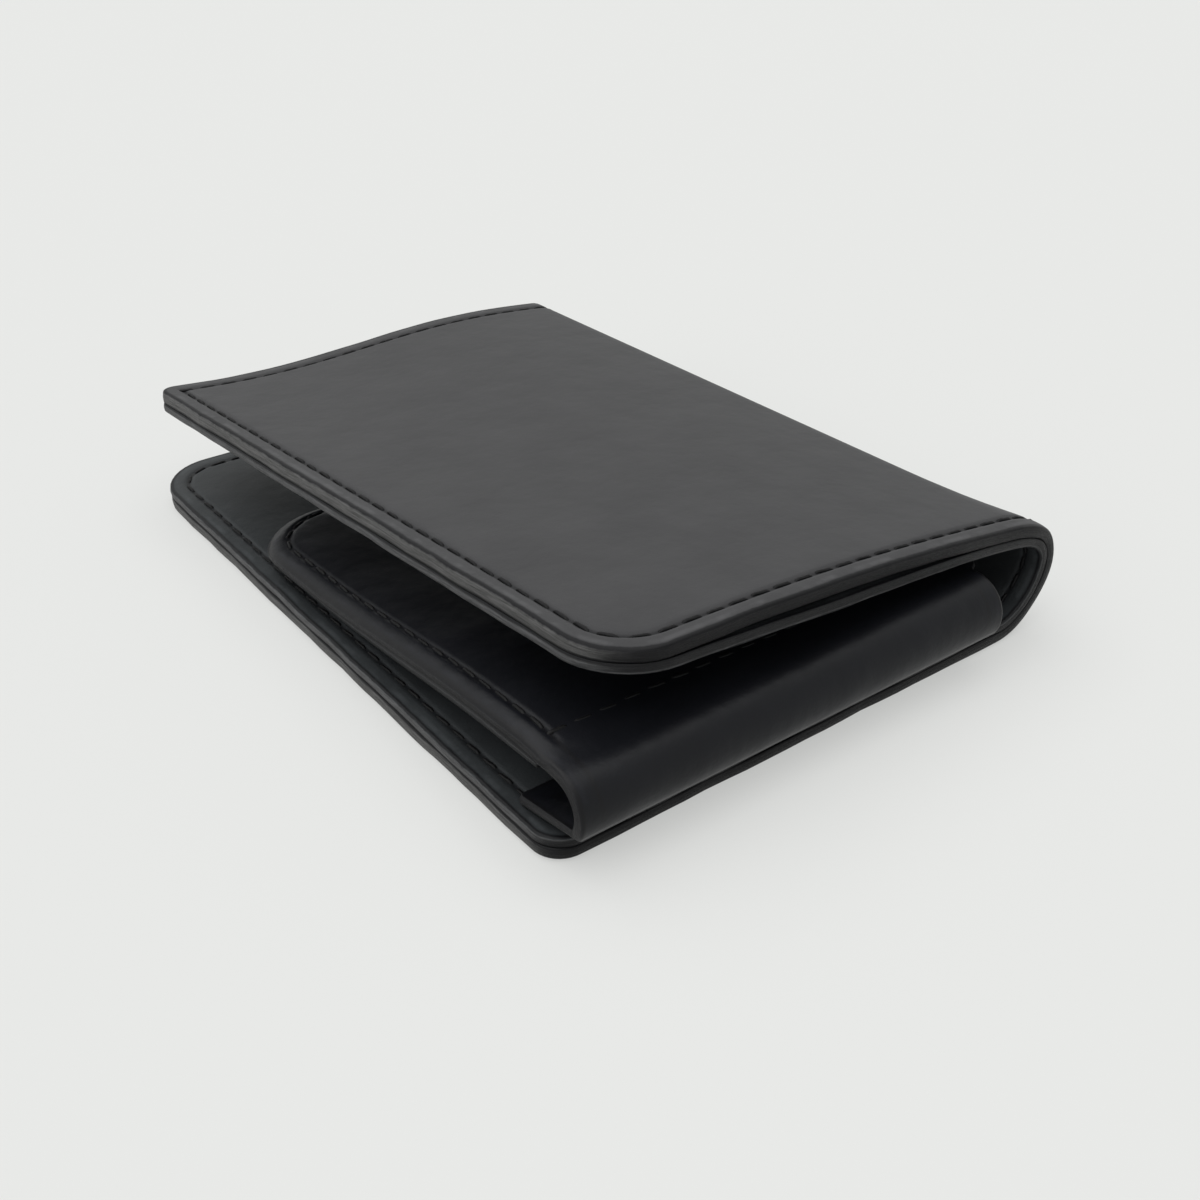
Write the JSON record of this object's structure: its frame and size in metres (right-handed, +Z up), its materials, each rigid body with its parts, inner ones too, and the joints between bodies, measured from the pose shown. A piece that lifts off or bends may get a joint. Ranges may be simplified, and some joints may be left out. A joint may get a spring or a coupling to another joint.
{
  "type": "folding identity wallet",
  "caption": "Stitched leather wallet that opens like a book, with a round spine, an inner flap that folds up from its short edge, a clear window and a card pocket.",
  "frame": {"origin": "middle of the closed wallet on the outer face of the back cover, the face it lies on", "axes": "+X across the wallet from the free edges to the spine, +Y along the spine away from the fold of the inner flap, +Z up through the covers"},
  "size_m": [0.082, 0.1141, 0.0251],
  "materials": {
    "outer_leather": "smooth coated leather, satin",
    "lining_leather": "smooth leather, satin",
    "inner_leather": "smooth leather, slightly glossy",
    "thread": "waxed thread",
    "clear_sheet": "clear flexible sheet",
    "board": "fibre board"
  },
  "bodies": {
    "back": {"back_cover": "outer_leather", "back_lining": "lining_leather", "back_window": "clear_sheet", "back_seam_outer": "thread", "back_seam_inner": "thread", "strap_lower": "inner_leather", "strap_seam": "thread"},
    "spine": {"spine_cover": "outer_leather", "spine_lining": "lining_leather", "spine_seam_outer": "thread", "spine_seam_inner": "thread"},
    "front": {"front_cover": "outer_leather", "front_lining": "lining_leather", "front_seam_outer": "thread", "front_seam_inner": "thread", "front_pocket": "inner_leather", "front_pocket_seam": "thread"},
    "flap": {"flap_cover": "inner_leather", "flap_board": "board", "flap_lining": "lining_leather", "flap_seam_top": "thread", "flap_seam_under": "thread"}
  },
  "joints": [
    {"name": "spine_lower_fold", "type": "hinge", "parent": "back", "child": "spine", "pos_m": [0.03771, 0.00004, 0.00249], "axis": [-0.0103, 0.9999, -0.0043], "range_deg": [0, 86]},
    {"name": "spine_upper_fold", "type": "hinge", "parent": "spine", "child": "front", "pos_m": [0.03771, 0.00021, 0.01451], "axis": [-0.0103, 0.9996, -0.0248], "range_deg": [0, 86]},
    {"name": "flap_fold", "type": "hinge", "parent": "back", "child": "flap", "pos_m": [0, -0.0588, 0.0081], "axis": [1, 0, 0], "range_deg": [0, 43]}
  ],
  "couplings": [
    {"joint": "spine_upper_fold", "follows": "spine_lower_fold", "ratio": 1},
    {"joint": "flap_fold", "follows": "spine_lower_fold", "ratio": 0.5}
  ]
}
